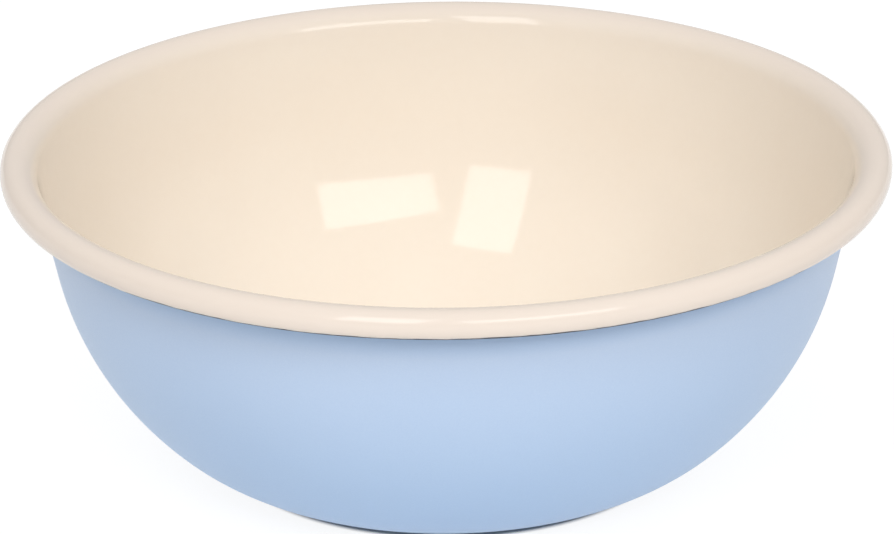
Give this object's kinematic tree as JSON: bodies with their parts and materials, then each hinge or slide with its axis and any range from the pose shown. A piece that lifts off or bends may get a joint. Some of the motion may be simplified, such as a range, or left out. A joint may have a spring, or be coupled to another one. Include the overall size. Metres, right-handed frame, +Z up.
{
  "type": "enamel basin bowl",
  "caption": "Deep round enamelled steel basin bowl with a flared rolled rim, cream inside and over the rim, pale blue outside, standing on a flat base ring.",
  "frame": {"origin": "centre of the bowl's standing face, on its axis", "axes": "+Z up along the bowl's axis of revolution; +X and +Y lie in the standing face, and every direction round the axis is alike"},
  "size_m": [0.26, 0.26, 0.0952],
  "materials": {
    "sheet_steel": "pressed low-carbon steel sheet, enamelled all over",
    "ground_enamel": "dark blue-black ground enamel, glossy",
    "cream_enamel": "glossy vitreous enamel, warm cream",
    "blue_enamel": "satin vitreous enamel, pale blue"
  },
  "bodies": {
    "root": {"steel_shell": "sheet_steel", "ground_coat_inside": "ground_enamel", "ground_coat_outside": "ground_enamel", "cream_coat": "cream_enamel", "blue_coat": "blue_enamel"}
  },
  "joints": []
}
